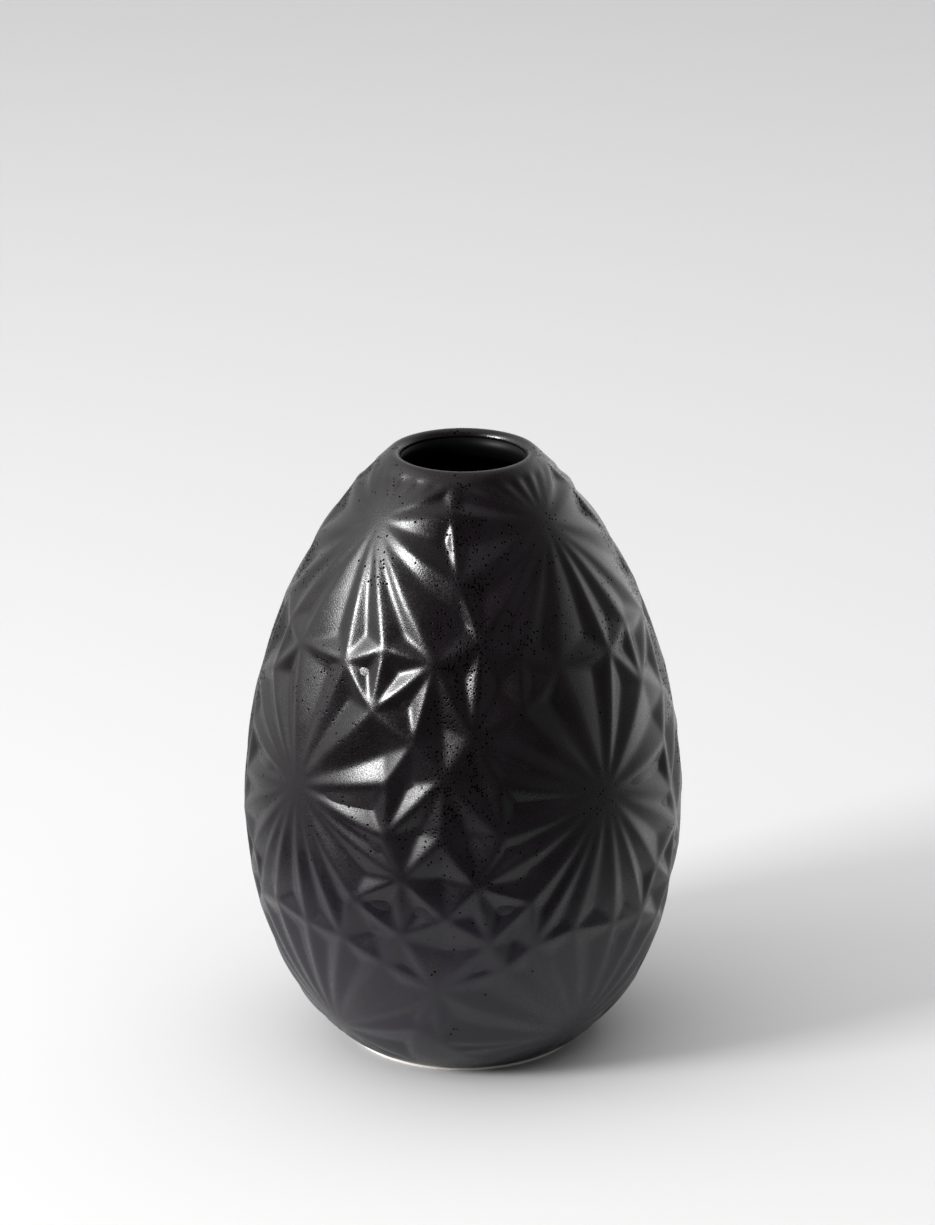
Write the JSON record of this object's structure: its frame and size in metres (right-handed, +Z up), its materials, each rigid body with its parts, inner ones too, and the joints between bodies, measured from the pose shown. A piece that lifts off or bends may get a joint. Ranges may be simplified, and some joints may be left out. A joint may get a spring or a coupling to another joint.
{
  "type": "stoneware pottery vase",
  "caption": "Egg-shaped stoneware vase with a narrow round mouth, carved all over with faceted stars under a satin black glaze, bare at the foot.",
  "frame": {"origin": "centre of the foot ring on the surface that the vase stands on", "axes": "+Z up along the vase's axis, out of the mouth; -Y is the front, which falls between two columns of stars"},
  "size_m": [0.1424, 0.1424, 0.2],
  "materials": {
    "fired_clay": "matte",
    "bare_clay": "matte",
    "outer_glaze": "satin",
    "inner_glaze": "satin"
  },
  "bodies": {
    "root": {"stoneware_body": "fired_clay", "foot_ring": "bare_clay", "outer_glaze": "outer_glaze", "inner_glaze": "inner_glaze"}
  },
  "joints": []
}
